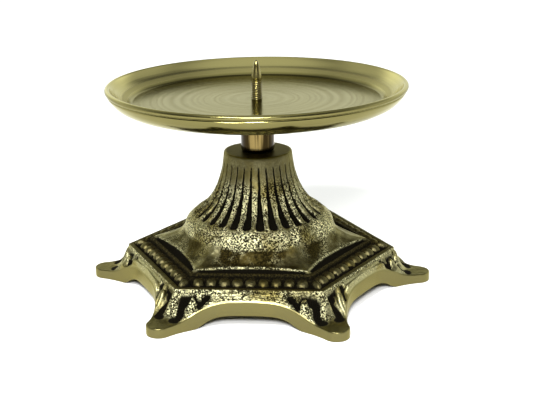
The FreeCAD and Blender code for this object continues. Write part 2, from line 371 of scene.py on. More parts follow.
def turned_brass():
    """Lathe-turned brass with fine rings that follow the radius. Its inner wall is painted brighter as
    reflected light, the steps at its foot are painted darker as shade, and its outer wall is painted darker
    as shade."""
    g = Graph(bpy.data.materials.new("turned_brass_mat"))
    radius, height = g.radius_and_height()
    slant = g.math("SUBTRACT", radius, height)
    rings = g.line_noise(radius, 1500, 3)
    coarse = g.line_noise(radius, 420, 2)
    mottle = g.noise(45, 4)
    body = g.mix(g.ramp(mottle, 0.35, 0.7), colour(0.215, 0.190, 0.066), colour(0.182, 0.161, 0.052))
    body = g.mix(g.math("MULTIPLY", g.ramp(rings, 0.35, 0.7), 0.35), body, colour(0.125, 0.108, 0.033))
    # Painted shade: the steps at the inner wall's foot are painted darker.
    steps = g.math("MULTIPLY", g.ramp(radius, 0.0554, 0.0560), g.ramp(radius, 0.0582, 0.0574))
    steps = g.math("MULTIPLY", steps, g.ramp(height, 0.0826, 0.0832))
    # Painted light: the inner wall is painted a brighter brass.
    wall = g.math("MULTIPLY", g.ramp(height, 0.0836, 0.0848), g.ramp(slant, -0.0250, -0.0262))
    body = g.mix(g.math("MULTIPLY", wall, 0.85), body, colour(0.42, 0.375, 0.150))
    body = g.mix(g.math("MULTIPLY", steps, 0.3), body, colour(0.10, 0.085, 0.028))
    # Painted shade: the outer wall is painted darker.
    outside_shade = g.ramp(slant, -0.0256, -0.0244)
    body = g.mix(g.math("MULTIPLY", outside_shade, 0.5), body, colour(0.120, 0.109, 0.046))
    g.feed(body, g.shader.inputs["Base Color"])
    g.shader.inputs["Metallic"].default_value = 1.0
    g.shader.inputs["Specular Tint"].default_value = colour(0.93, 0.91, 0.74)
    rough = g.ramp(coarse, 0.3, 0.7, 0.13, 0.22)
    g.feed(g.math("ADD", rough, g.math("MULTIPLY", steps, 0.2)), g.shader.inputs["Roughness"])
    lines = g.bump(rings, 0.22, 0.0001)
    g.feed(g.bump(coarse, 0.16, 0.0003, lines), g.shader.inputs["Normal"])
    return g.owner


def collar_brass():
    """The collar: painted browner and darker than the pan, in upright stripes that stand for the dark room's
    reflection, with faint marks round it.
    """
    g = Graph(bpy.data.materials.new("collar_brass_mat"))
    height = g.split()[2]
    rings = g.line_noise(height, 2600, 2)
    # Painted reflection: upright stripes of near black stand in for the room's dark reflection.
    reflection_streaks = g.noise(260, 3, 0.6, g.stretched(1, 1, 0.06))
    body = g.mix(g.ramp(reflection_streaks, 0.45, 0.56), colour(0.165, 0.120, 0.043), colour(0.022, 0.015, 0.005))
    g.feed(body, g.shader.inputs["Base Color"])
    g.shader.inputs["Metallic"].default_value = 1.0
    g.feed(g.ramp(rings, 0.3, 0.7, 0.10, 0.20), g.shader.inputs["Roughness"])
    g.feed(g.bump(rings, 0.10, 0.0001), g.shader.inputs["Normal"])
    return g.owner


def stud_brass():
    """The threaded spike: bright crests, and roots painted dark as shade."""
    g = Graph(bpy.data.materials.new("stud_brass_mat"))
    root_shade = g.attribute("cavity")
    mottle = g.noise(300, 3)
    body = g.mix(g.ramp(mottle, 0.35, 0.7), colour(0.29, 0.25, 0.095), colour(0.15, 0.125, 0.042))
    # Painted shade: the thread's roots are painted near black.
    body = g.mix(g.math("MULTIPLY", root_shade, 0.9), body, colour(0.03, 0.024, 0.010))
    g.feed(body, g.shader.inputs["Base Color"])
    g.feed(g.ramp(root_shade, 0.0, 1.0, 1.0, 0.5), g.shader.inputs["Metallic"])
    g.feed(g.ramp(root_shade, 0.0, 1.0, 0.22, 0.5), g.shader.inputs["Roughness"])
    g.feed(g.bump(g.noise(2200, 2), 0.15, 0.0002), g.shader.inputs["Normal"])
    return g.owner


def plated_steel():
    """Dull zinc plate on the hidden fasteners."""
    g = Graph(bpy.data.materials.new("fastener_steel_mat"))
    mottle = g.noise(420, 4)
    body = g.mix(g.ramp(mottle, 0.35, 0.65), colour(0.52, 0.53, 0.52), colour(0.36, 0.36, 0.34))
    g.feed(body, g.shader.inputs["Base Color"])
    g.shader.inputs["Metallic"].default_value = 1.0
    g.feed(g.ramp(mottle, 0.3, 0.7, 0.30, 0.48), g.shader.inputs["Roughness"])
    g.feed(g.bump(g.noise(1800, 2), 0.2, 0.0002), g.shader.inputs["Normal"])
    return g.owner


# ---------------------------------------------------------------- the casting's outline in plan
ANGLE = np.arange(COLUMNS) * 2 * math.pi / COLUMNS
SIDE_INDEX = np.arange(COLUMNS) // COLUMNS_PER_SIDE
FLUTE_INDEX = np.round(np.arange(COLUMNS) * FLUTES / COLUMNS) % FLUTES
NORMAL = (SIDE_INDEX + 0.5) * 2 * HALF_PITCH
OFF_NORMAL = ANGLE - NORMAL


def from_side(along, out):
    """Plan points from each column's place along its side and its distance out from the axis."""
    return np.stack([out * np.cos(NORMAL) - along * np.sin(NORMAL),
                     out * np.sin(NORMAL) + along * np.cos(NORMAL)], axis=-1)


def side_axes(plan):
    """The opposite of from_side: the distance out, and the place along the side."""
    x, y = plan.T
    return x * np.cos(NORMAL) + y * np.sin(NORMAL), -x * np.sin(NORMAL) + y * np.cos(NORMAL)


def toe_axes(plan):
    """Distances along the nearest toe and across it."""
    x, y = plan.T
    toe = np.round(np.arctan2(y, x) / (2 * HALF_PITCH)) * 2 * HALF_PITCH
    return x * np.cos(toe) + y * np.sin(toe), -x * np.sin(toe) + y * np.cos(toe)


def hexagon_plan(corner_r):
    out = np.full(COLUMNS, corner_r * COS_HALF)
    return from_side(out * np.tan(OFF_NORMAL), out)


def round_plan(radius):
    return np.stack([radius * np.cos(ANGLE), radius * np.sin(ANGLE)], axis=-1)


def foot_outline():
    """The star-shaped plan: straight at the middle of a side, then a hollow curve to a round toe.
    The columns crowd towards the toes, where the leaves need them."""
    curve = np.array([SIDE_FLAT_HALF, SIDE_APOTHEM + SIDE_CURVE_R])
    toe = TOE_CENTRE_R * np.array([math.sin(HALF_PITCH), math.cos(HALF_PITCH)])
    towards = curve - toe
    toe_r = math.hypot(*towards) - SIDE_CURVE_R
    meet = math.atan2(towards[1], towards[0])
    axis = math.pi / 2 - HALF_PITCH
    tip_turn = np.linspace(axis, meet, 60)
    tip = toe + toe_r * np.stack([np.cos(tip_turn), np.sin(tip_turn)], axis=1)
    hollow_turn = np.linspace(meet - math.pi, -math.pi / 2, 120)
    hollow = curve + SIDE_CURVE_R * np.stack([np.cos(hollow_turn), np.sin(hollow_turn)], axis=1)
    half = np.concatenate([tip, hollow[1:], [[0, SIDE_APOTHEM]]])
    run = run_along(half)
    share = np.arange(COLUMNS_PER_SIDE // 2 + 1) / (COLUMNS_PER_SIDE // 2)
    at = run[-1] * (0.72 * share + 0.28 * share**2)
    half = np.stack([np.interp(at, run, half[:, 0]), np.interp(at, run, half[:, 1])], axis=1)
    left = half * [-1, 1]
    side = np.concatenate([left, half[-2:0:-1]])
    along = np.tile(side[:, 0], SIDES)
    out = np.tile(side[:, 1], SIDES)
    return from_side(along, out)


OUTLINE = foot_outline()
OUTWARD = np.roll(OUTLINE, -1, axis=0) - np.roll(OUTLINE, 1, axis=0)
OUTWARD = np.stack([OUTWARD[:, 1], -OUTWARD[:, 0]], axis=1)
OUTWARD /= np.hypot(*OUTWARD.T)[:, None]


def ring(plan, z):
    """A ring of points over the given plan, at one height or one for each point."""
    return np.column_stack([plan, np.broadcast_to(z, COLUMNS)])


# ---------------------------------------------------------------- reliefs of the casting
COLUMN_SIDE = [(15.0, 59.6), (15.15, 58.4), (15.4, 56.3), (15.9, 53.0), (16.6, 50.0), (17.5, 47.0),
               (18.4, 44.5), (19.6, 42.0), (20.75, 40.0), (22.1, 38.0), (23.9, 36.0), (26.3, 34.1),
               (29.0, 32.2), (31.4, 30.4), (32.8, 28.5), (SHOULDER_R, SHOULDER_Z)]


class Skin:
    """The rings of the casting, from its top round to its hollow. Each ring has one value, or one for each
    point, for its painted shade, how ground it is (polish), how grainy it is with bright painted glints, and
    how browned it is by patina and painted shade, and for the share of the casting's bumps that it has
    (texture)."""

    LOOKS = ("cavity", "polish", "sandy", "aged")

    def __init__(self):
        self.rings = []
        self.values = {key: [] for key in self.LOOKS + ("texture",)}

    def add(self, points, texture, cavity=0.0, polish=0.0, sandy=0.3, aged=0.0):
        self.rings.append(points)
        for key, value in zip(self.values, (cavity, polish, sandy, aged, texture)):
            self.values[key].append(np.broadcast_to(value, len(points)))

    def joined(self, key):
        return np.concatenate(self.values[key])


def add_top(skin):
    """The ground top face, from the stud's hole out to its rounded edge."""
    for radius, count in ((HOLE_R, COLUMNS // 4), (5.0, COLUMNS // 4), (9.0, COLUMNS // 4),
                          (12.5, COLUMNS // 4), (13.6, COLUMNS // 2)):
        # Patina and painted shade under the pan brown the ground top almost to black.
        skin.add(circle(radius, COLUMN_TOP_Z, count), 0.0, polish=0.9, sandy=0.0, aged=0.88)
    for radius, drop in ((14.3, 0.03), (14.75, 0.2)):
        skin.add(circle(radius, COLUMN_TOP_Z - drop, COLUMNS), 0.3, polish=0.6, sandy=0.0, aged=0.3)


def add_flutes(skin):
    """The flared column, with its flutes sunk along it, and the plain round shoulder under them."""
    profile = curve_through(COLUMN_SIDE, 58)
    slope = np.gradient(profile, axis=0)
    slope /= np.hypot(*slope.T)[:, None]
    run = run_along(profile)
    start = run[np.argmin(abs(profile[:, 1] - FLUTE_TOP_Z))]
    end = run[np.argmin(np.hypot(*(profile - FLUTE_FOOT).T))]
    spacing = 2 * math.pi / FLUTES
    off = (ANGLE + spacing / 2) % spacing - spacing / 2
    for (r, z), (dr, dz), s in zip(profile, slope, run):
        share = np.clip((s - start) / (end - start), 0, 1)
        half = 0.36 + 1.95 * share**2.1
        depth = (0.30 + 1.9 * share**1.3) * smooth(s, start - 0.4, start + 2.5)
        wobble = 0.30 * np.sin(7.3 * FLUTE_INDEX + 0.55 * s) + 0.22 * np.sin(3.1 * FLUTE_INDEX + 1.7 * s)
        across = abs(off * r + 0.28 * wobble)
        half = half * (1 + 0.25 * wobble * (1 - share))
        past_end = np.clip(s - (end - half), 0, None)
        reach = np.sqrt((across / half) ** 2 + (past_end / half) ** 2)
        inside = np.sqrt(np.clip(1 - reach**2, 0, 1))
        rim = 0.32 * share**0.8 * bell(reach - 1.16, 0.16) * smooth(s, start + 2, start + 10)
        raised = rim - depth * inside**0.8
        # Painted shade: the flutes are painted darker towards their hollows and their lower ends, and the
        # neck browns towards the pan, partly by patina and partly by painted shade under it.
        dark = smooth(inside, 0.1, 0.7) * (0.45 + 0.65 * share**0.7)
        grainy = (0.22 + 0.78 * smooth(share, 0.15, 0.5)) * (1 - 0.85 * bell(reach - 1.2, 0.14) * share)
        skin.add(ring(round_plan(r - dz * raised), z + dr * raised), 0.5,
                 cavity=np.clip(dark, 0, 1) * smooth(s, start - 0.5, start + 1.5),
                 sandy=grainy if z < PLAIN_NECK_Z else 0.15, aged=0.06 + 0.64 * smooth(z, 42, 53))


def front_light_share(plan, least=0.30):
    """1 on the front side of the foot and least on the others, which are smoother. It sets how much painted
    light and shade a place takes for facing the lamps in front: bright painted glints on the skirt, and
    painted shade on the dome's foot.
    """
    front = -plan[:, 1] / np.hypot(*plan.T)
    return least + (1 - least) * smooth(front, 0.82, 0.90)


def dome_edge_plan():
    """The dome's foot: corner to corner, but bowed in towards the axis along each side."""
    flat = DOME_CORNER_R * COS_HALF
    half_side = DOME_CORNER_R / 2
    radius = flat / np.cos(OFF_NORMAL)
    settling_steps = 6
    for _ in range(settling_steps):
        along = radius * np.sin(OFF_NORMAL)
        out = flat - GROOVE_WIDTH * (1 - (along / half_side) ** 2)
        radius = out / np.cos(OFF_NORMAL)
    return round_plan(radius), radius


def add_dome(skin):
    """From the shoulder, hollow and flaring, to the bowed edge; then the sunk crescent along each side. The
    flare is browned by patina and painted shade, more at the front, the crescent is painted near black as
    shade, and its upper edge takes bright painted glints.
    """
    edge, edge_r = dome_edge_plan()
    facing = np.cos(3 * OFF_NORMAL)
    broad = 1 - smooth(abs(OFF_NORMAL), 0.30, 0.50)
    for t in np.linspace(0, 1, 19)[1:]:
        spread = 0.25 * t + 0.75 * t**1.9
        fall = 1 - (1 - t) ** 1.5
        radius = SHOULDER_R + (edge_r - SHOULDER_R) * spread
        z = SHOULDER_Z + (DOME_EDGE_Z + DOME_LIP * facing - SHOULDER_Z) * fall
        points = ring(round_plan(radius), z)
        middle = smooth(t, 0.03, 0.22) * (1 - smooth(t, 0.93, 0.98))
        blotch = grain(points, 7.0, 3, 11.0)
        patina = middle * (0.50 + 0.60 * broad + 0.9 * blotch) * front_light_share(points[:, :2], 0.75)
        skin.add(points, 0.7, cavity=0.12 * middle * broad,
                 sandy=(1 - 0.30 * middle) * (0.35 + 0.65 * broad), aged=np.clip(patina, 0, 1))
    step = hexagon_plan(DOME_CORNER_R + 0.5)
    gap = np.hypot(*step.T) - edge_r
    sink = GROOVE_DEPTH * smooth(gap, 0.5, 1.9)
    for share, low, dark in ((0.04, 0.10, 0.0), (0.12, 0.40, 0.5), (0.20, 0.85, 1.0), (0.42, 1.0, 1.0),
                             (0.70, 1.0, 1.0), (0.90, 0.9, 1.0), (0.97, 0.45, 0.8)):
        lip = DOME_LIP * facing * (1 - smooth(share, 0.0, 0.5))
        on_edge = share < 0.05
        skin.add(ring(edge + (step - edge) * share, DOME_EDGE_Z + lip - 0.5 * share - low * sink), 0.7,
                 cavity=dark * smooth(gap, 0.5, 1.6), sandy=1.0 if on_edge else 0.4,
                 aged=0.0 if on_edge else 0.5)


def add_step(skin):
    """The straight step between the dome and the beads, painted dark as shade and browned by patina and
    painted shade.
    """
    for corner_r, drop, dark in ((DOME_CORNER_R + 0.6, 0.15, 0.50), (DOME_CORNER_R + 0.9, 0.0, 0.42),
                                 (STEP_CORNER_R - 0.5, 0.02, 0.40), (STEP_CORNER_R, 0.35, 0.46),
                                 (STEP_CORNER_R + 0.2, 1.3, 0.55), (STEP_CORNER_R + 0.5, 2.6, 0.5)):
        skin.add(ring(hexagon_plan(corner_r), STEP_Z - drop), 0.7, cavity=dark, sandy=0.1, aged=0.95)


def bead_height(plan):
    """Height of the bead course over the channel's floor: blunt tongues that grow out of the step and
    round off outwards, and a leaf at each corner."""
    spacing = BEAD_ROW_R / BEADS_PER_SIDE
    out, along = side_axes(plan)
    place = (along + BEAD_ROW_R / 2) / spacing
    nearest = np.clip(np.round(place), 1, BEADS_PER_SIDE - 1)
    dx = (place - nearest) * spacing + 0.26 * np.sin(nearest * 12.9 + SIDE_INDEX * 4.1)
    dy = out - BEAD_ROW_R * COS_HALF + BEAD_INSET + 0.25 * np.sin(nearest * 7.7 + SIDE_INDEX)
    uneven = 0.95 + 0.06 * np.sin(nearest * 5.3 + SIDE_INDEX * 2.9)
    width = BEAD_R * (uneven - 0.12 * smooth(dy, 0.5, BEAD_REACH))
    reach = abs(dx / width) ** 3.2 + abs(dy / BEAD_REACH) ** 2.6
    bead = BEAD_TOP * (1 - 0.10 * smooth(dy, 0, BEAD_REACH)) * np.clip(1 - reach, 0, 1) ** 0.42
    lateral = toe_axes(plan)[1]
    reach = ((np.hypot(*plan.T) - BEAD_ROW_R - 0.3) / 3.5) ** 2 + (lateral / 1.7) ** 2
    leaf = BEAD_R * 1.2 * np.clip(1 - reach, 0, 1) ** 0.5
    return np.maximum(bead, leaf)


def add_beads(skin):
    """The sunk channel with its beads. Painted shade fills the gaps between the beads, and patina with
    painted shade darkens the course more towards the step.
    """
    for corner_r in np.linspace(CHANNEL_INNER_R, CHANNEL_OUTER_R - 0.3, 16):
        plan = hexagon_plan(corner_r)
        bed = CHANNEL_Z + 1.2 * bell(corner_r - CHANNEL_INNER_R, 0.5)
        height = bead_height(plan)
        inner = 1 - smooth(corner_r, 53.0, 54.8)
        skin.add(ring(plan, np.maximum(bed, CHANNEL_Z + height)), 0.4,
                 cavity=np.maximum(smooth(1.7 - height, 0.0, 0.9), 0.10 + 0.30 * inner), sandy=0.22,
                 aged=0.78 + 0.20 * inner)


def add_ledge(skin):
    """The flat outer ledge and its upright edge. Painted shade lines the channel's outer side, the ledge is
    browned by patina and painted shade, and its upright edge takes bright painted glints.
    """
    for corner_r, z, dark in ((CHANNEL_OUTER_R - 0.15, CHANNEL_Z + 0.5, 0.8),
                              (CHANNEL_OUTER_R, LEDGE_Z - 0.2, 0.15), (CHANNEL_OUTER_R + 0.3, LEDGE_Z, 0.0),
                              (LEDGE_R - 1.2, LEDGE_Z + 0.02, 0.0), (LEDGE_R - 0.3, LEDGE_Z - 0.03, 0.0),
                              (LEDGE_R, LEDGE_Z - 0.3, 0.0), (LEDGE_R, LEDGE_Z - LEDGE_FACE, 0.05)):
        skin.add(ring(hexagon_plan(corner_r), z), 0.4, cavity=dark,
                 sandy=0.15 + 0.85 * smooth(corner_r, LEDGE_R - 0.5, LEDGE_R),
                 aged=0.94 * (1 - smooth(corner_r, LEDGE_R - 0.3, LEDGE_R)))


# Heights over the foot's radius: the flange's upper and lower faces, and the top of the rib on each toe.
FLANGE_TOP = ((50, 12.9), (52.3, 12.4), (55, 11.5), (58, 9.9), (60.7, 8.2), (64, 5.9), (67.3, 4.6),
              (70, 4.25), (72, 4.2), (80, 4.2))
FLANGE_UNDER = ((50, ARCH_HEIGHT), (54.5, ARCH_HEIGHT), (56.7, 4.6), (58.6, 3.2), (60.6, 1.1),
                (62.4, 0.05), (63, 0), (80, 0))


RIB_TOP = ((59.4, 14.2), (60.4, 14.0), (61.3, 12.9), (62.2, 11.0), (63.0, 9.0), (63.9, 7.0), (64.8, 5.6),
           (65.8, 4.7), (67.0, 4.3), (80.0, 4.2))


def height_at(table, radius):
    """The height at a radius on the smooth curve through a table of (radius, height) points."""
    dense = curve_through(table, 200)
    return np.interp(radius, dense[:, 0], dense[:, 1])


def leaf_relief(plan, outward):
    """The leaf on each toe and the grainy skirt along each side: the height, and how dark it is, as painted
    shade in the grooves, the pool, the recess and under the ledge.
    outward is the distance to the foot's edge. u and v run along and across the toe; from_ledge and
    from_corner run out from the ledge and along it."""
    u, across = toe_axes(plan)
    v = abs(across)
    out, along = side_axes(plan)
    from_ledge = out - LEDGE_R * COS_HALF
    from_corner = LEDGE_R / 2 - abs(along)
    base = height_at(FLANGE_TOP, np.hypot(*plan.T))
    edge = smooth(outward, 0.1, 1.3)
    leafy = smooth(LEAF_REACH - from_corner, 0, 2.6)

    # the rib along the toe, the groove on each side of it and the pool where they end
    rib_half = np.clip(1.7 + 0.45 * (u - LEDGE_R), 1.7, 3.0)
    rib_round = np.clip(1 - abs(v / rib_half) ** 3, 0, 1) ** 0.5
    rib = np.clip(height_at(RIB_TOP, u) - base, 0, 9) * rib_round
    groove = 2.5 * bell(v - rib_half - 1.6, 1.25) ** 0.8
    groove = groove * smooth(68.3 - u, 0, 1.6) * (1 - smooth(rib_round, 0, 0.5))
    pool = 1.1 * bell(u - 66.7, 1.3) * bell(v - 3.6, 1.9)

    # the lobe beyond the groove, with its vein
    lobe_width = 1.9 - 0.05 * (u - 58)
    lobe_rise = 3.5 * bell(u - 58.4, 3.6) + 1.0 * bell(u - 63.5, 3.0)
    lobe = lobe_rise * np.clip(1 - abs((v - 8.1) / lobe_width) ** 2.4, 0, 1) ** 0.6
    vein = 0.7 * bell(v - 8.3, 0.35) * smooth(u, 58, 60) * smooth(65.5 - u, 0, 2)

    # the V-shaped recess beyond the lobe, the point that hangs into it, and the shadow under the ledge
    vee = np.clip(1 - abs(from_corner - VEE_PLACE) / 4.3 - from_ledge / 5.2, 0, 1)
    recess = 2.6 * smooth(vee, 0.0, 0.22)
    drop = np.clip(1 - abs(from_corner - VEE_PLACE) / 1.8 - from_ledge / 2.6, 0, 1)
    chevron = 2.6 * smooth(drop, 0.0, 0.35)
    shadow = 1.7 * smooth(2.2 - from_ledge, 0, 1.2) * smooth(v, rib_half, rib_half + 1.0)
    shadow = shadow * (1 - smooth(lobe, 0.5, 1.8))

    # the skirt between two leaves, with a crest along the foot's edge
    skirt_top = LEDGE_Z - LEDGE_FACE - 0.2 - 0.25 * np.clip(from_ledge, 0, 4)
    skirt = np.clip(skirt_top - base, 0, 4) * (0.25 + 0.75 * smooth(outward, 0.2, 1.5))
    crest = 1.9 * bell(outward - 1.5, 0.9) * smooth(from_corner, 9.0, 13.0)
    side = np.maximum(skirt * (1 - 0.35 * bell(from_ledge - 1.1, 0.5)), crest)

    leaf = np.maximum(rib, lobe * edge - vein) - (groove + pool * edge) * (1 - smooth(rib, 0.1, 1.0))
    leaf = np.maximum(leaf - np.maximum(recess * edge, shadow), chevron - 0.2)
    relief = leaf * leafy + side * (1 - leafy)
    # Painted shade: dark in the grooves, the pool, the V-shaped recess and under the ledge, but not on the
    # rib, the lobe or the point.
    dark = np.maximum(groove / 1.3, np.maximum(shadow, recess * edge))
    dark = np.maximum(dark, pool / 0.6) * (1 - smooth(rib, 0.15, 1.1))
    dark = dark * (1 - 0.9 * smooth(lobe * edge - recess, 0.6, 1.6))
    dark = np.clip(dark, 0, 1) * (1 - smooth(chevron, 0.4, 1.4)) * leafy
    return base + relief, dark


def add_skirt(skin):
    """From the ledge's lower edge out to the foot's ground edge, over the leaves and the toes' pads. Painted
    shade lies in the leaves' hollows, the front side takes more bright painted glints than the others, and
    the pads are browned a little by patina and painted shade.
    """
    inner = hexagon_plan(LEDGE_R - 0.15)
    outer = OUTLINE - OUTWARD * 0.5
    length = np.hypot(*(outer - inner).T)
    for w in np.linspace(0.0, 1.0, 27)[1:]:
        plan = inner + (outer - inner) * w
        z, dark = leaf_relief(plan, length * (1 - w) + 0.5)
        pad = smooth(np.hypot(*plan.T), PAD_INNER_R, PAD_R)
        skin.add(ring(plan, np.minimum(z, LEDGE_Z - LEDGE_FACE - 0.1)), 1.0, cavity=dark,
                 sandy=(1 - 0.9 * pad) * front_light_share(plan), aged=0.28 * pad)


def add_ground_edge(skin):
    """The ground edge all round the foot, the toes' soles, and the underside in to the hollow."""
    radius = np.hypot(*OUTLINE.T)
    top = height_at(FLANGE_TOP, radius)
    low = height_at(FLANGE_UNDER, radius)
    levels = ((0.22, top - 0.02), (0.05, top - 0.18), (0.0, top - 0.5), (0.0, (top + low) / 2),
              (0.0, low + 0.4), (0.08, low + 0.12), (0.35, low))
    for inset, z in levels:
        skin.add(ring(OUTLINE - OUTWARD * inset, z), 0.05, polish=1.0)
    edge = OUTLINE - OUTWARD * levels[-1][0]
    inner = round_plan(HOLLOW_R + 0.4)
    for w in (0.08, 0.2, 0.35, 0.52, 0.7, 0.86, 1.0):
        plan = edge + (inner - edge) * w
        skin.add(ring(plan, height_at(FLANGE_UNDER, np.hypot(*plan.T))), 0.05, polish=1.0)


HOLLOW_SIDE = [(HOLLOW_R, 5.8), (50.4, 8.0), (48.6, 11.0), (43, 13.6), (36, 17.2), (29.5, 23.0),
               (26.4, 28.6), (22.6, 33.0), (18.0, 38.2), (14.9, 43.4), (13.0, 48.5), (11.9, CEILING_Z - 0.6)]


def add_hollow(skin):
    """The rough inside, and the flat ceiling that the washer bears on, both painted darker as shade inside
    the foot.
    """
    inside = curve_through(HOLLOW_SIDE, 26)
    skin.add(circle(*inside[0], COLUMNS // 2), 0.3, cavity=0.3)
    for radius, z in inside[1:]:
        skin.add(circle(radius, z, COLUMNS // 4), 0.0, cavity=0.35)
    for radius in (10.6, 7.5, 5.1, HOLE_R):
        skin.add(circle(radius, CEILING_Z, COLUMNS // 4), 0.0, cavity=0.3, polish=0.4)


def casting():
    """One skin, roughened by the sand it was cast in, and flat where it stands on the floor."""
    skin = Skin()
    for add_section in (add_top, add_flutes, add_dome, add_step, add_beads, add_ledge, add_skirt,
                        add_ground_edge, add_hollow):
        add_section(skin)
    points = np.concatenate(skin.rings)
    outward = points / np.maximum(np.linalg.norm(points * [1, 1, 0.6], axis=1), 1)[:, None]
    bumps = 0.055 * grain(points, 1.3, 2, 3.0) + 0.16 * grain(points, 9.0, 2, 7.0)
    points = points + outward * (bumps * skin.joined("texture"))[:, None]
    points[:, 2] = np.maximum(points[:, 2], 0.0)
    ends = np.cumsum([len(r) for r in skin.rings])[:-1]
    looks = {key: skin.joined(key) for key in Skin.LOOKS}
    return rings_object("casting", np.split(points, ends), looks, loop=True)


# ---------------------------------------------------------------- the turned and bought pieces
FLOOR_Z = 83.1
FLOOR_R = 54.1
PAN_UNDER_Z = 79.9
BOSS_R = 15.5
RUNNING_GAP = 0.05
TOOL_PITCH = 1.15
TOOL_DEPTH = 0.012


def pan():
    """The turned dish. Its floor has shallow rings left by the tool."""
    bore = STUD_R + RUNNING_GAP
    under = [(bore, BOSS_Z + 0.3), (bore + 0.3, BOSS_Z), (8.0, BOSS_Z), (14.6, BOSS_Z),
             (15.2, BOSS_Z + 0.15), (BOSS_R, BOSS_Z + 0.6), (BOSS_R, PAN_UNDER_Z - 1.6),
             (BOSS_R + 0.5, PAN_UNDER_Z - 0.5), (BOSS_R + 1.6, PAN_UNDER_Z), (25, PAN_UNDER_Z),
             (38, PAN_UNDER_Z), (50, PAN_UNDER_Z)]
    bowl = curve_through([(51.0, PAN_UNDER_Z + 0.02), (54.0, 80.25), (57.2, 81.15), (60.3, 82.8),
                          (62.6, 84.9), (64.1, 87.2)], 26).tolist()
    lip = [(64.12, 87.45), (63.95, 87.7), (63.95, 87.95), (64.25, 88.15)]
    lip += curve_through([(64.4, 88.2), (64.85, 88.5), (PAN_R, 89.05), (64.85, 89.65), (64.4, 90.05),
                          (63.8, RIM_Z), (63.2, 90.08)], 15).tolist()
    wall = curve_through([(63.0, 89.9), (62.2, 89.0), (60.8, 87.7), (59.2, 86.55),
                          (57.6, 85.75)], 16).tolist()
    steps = [(57.3, 85.56), (56.95, 85.26), (56.5, 84.98), (56.1, 84.66)]
    cove = curve_through([(55.8, 84.42), (55.2, 83.92), (54.5, 83.4), (FLOOR_R - 0.5, FLOOR_Z)], 8).tolist()
    radii = np.linspace(FLOOR_R - 0.8, 3.2, 170)
    dish = [(r, FLOOR_Z + TOOL_DEPTH * math.sin(r * 2 * math.pi / TOOL_PITCH) * math.sin(r * 0.9))
            for r in radii]
    neck = [(bore + 0.35, FLOOR_Z), (bore, FLOOR_Z - 0.3), (bore, 79.0)]
    profile = under + bowl + lip + wall + steps + cove + dish + neck
    return rings_object("drip_pan_turned", turn(profile, 288), loop=True, smooth_angle=38)


THREAD_PITCH = 0.8
THREAD_DEPTH = 0.40
THREAD_TOP_Z = 90.0
TIP_Z = STUD_HIGH.z


def stud():
    """Threaded rod with a helical thread, turned down to a blunt point."""
    count = 48
    angle = np.arange(count) * 2 * math.pi / count
    nose = curve_through([(STUD_R, THREAD_TOP_Z - 0.2), (2.2, 92.6), (1.5, 96.4), (0.95, 98.7), (0.6, 99.4),
                          (0.12, TIP_Z)], 40)
    rows = np.concatenate([np.arange(STUD_LOW.z, THREAD_TOP_Z, THREAD_PITCH / 8), nose[:, 1]])
    radii = np.concatenate([np.full(len(rows) - len(nose), STUD_R), nose[:, 0]])
    rings, roots = [], []
    for z, r in zip(rows, radii):
        phase = (z / THREAD_PITCH - angle / (2 * math.pi)) % 1
        vee = 1 - abs(2 * phase - 1)
        cut = smooth(vee, 0.15, 0.95)
        keep = smooth(z, STUD_LOW.z + 0.2, STUD_LOW.z + 1.0) * (1 - smooth(z, THREAD_TOP_Z - 0.6, 92.2))
        deep = np.full(count, r) - THREAD_DEPTH * cut * keep
        deep = np.minimum(deep, r - 0.4 * (1 - smooth(z, STUD_LOW.z, STUD_LOW.z + 0.4)))
        rings.append(np.column_stack([deep * np.cos(angle), deep * np.sin(angle), np.full(count, z)]))
        roots.append(cut * keep)
    foot = circle(0.02, STUD_LOW.z, count)
    return rings_object("pricket_stud_threaded", [foot] + rings, {
        "cavity": np.concatenate([np.zeros(count)] + roots)}, capped=True)


def collar_tube():
    """The spacer, with a rounded lower edge."""
    bore = STUD_R + 0.06
    foot = COLLAR_LOW.z
    profile = [(bore, foot + 0.2), (bore + 0.2, foot), (COLLAR_R - 1.0, foot)]
    profile += curve_through([(COLLAR_R - 0.75, foot + 0.02), (COLLAR_R - 0.3, foot + 0.3),
                              (COLLAR_R - 0.05, foot + 0.85), (COLLAR_R, foot + 1.5)], 8).tolist()
    profile += [(COLLAR_R, foot + 1.5 + (BOSS_Z - foot - 2.2) * k / 10) for k in range(1, 11)]
    profile += [(COLLAR_R - 0.1, BOSS_Z - 0.3), (COLLAR_R - 0.35, BOSS_Z - 0.02), (bore + 0.2, BOSS_Z),
                (bore, BOSS_Z - 0.2)]
    return rings_object("collar_turned", turn(profile, 144), loop=True, smooth_angle=40)


SPRING_R = 4.6
SPRING_GAP = 0.12
SPRING_STEP = 0.18


def washer_flat():
    """A stamped ring with its outer edges broken."""
    outer = FLAT_HIGH.x
    low, high = FLAT_LOW.z, FLAT_HIGH.z
    profile = [(HOLE_R, low), (outer - 0.15, low), (outer, low + 0.15), (outer, high - 0.15),
               (outer - 0.15, high - 0.01), (HOLE_R, high - 0.01)]
    return rings_object("flat_washer_stamped", turn(profile, 72), loop=True, smooth_angle=30)


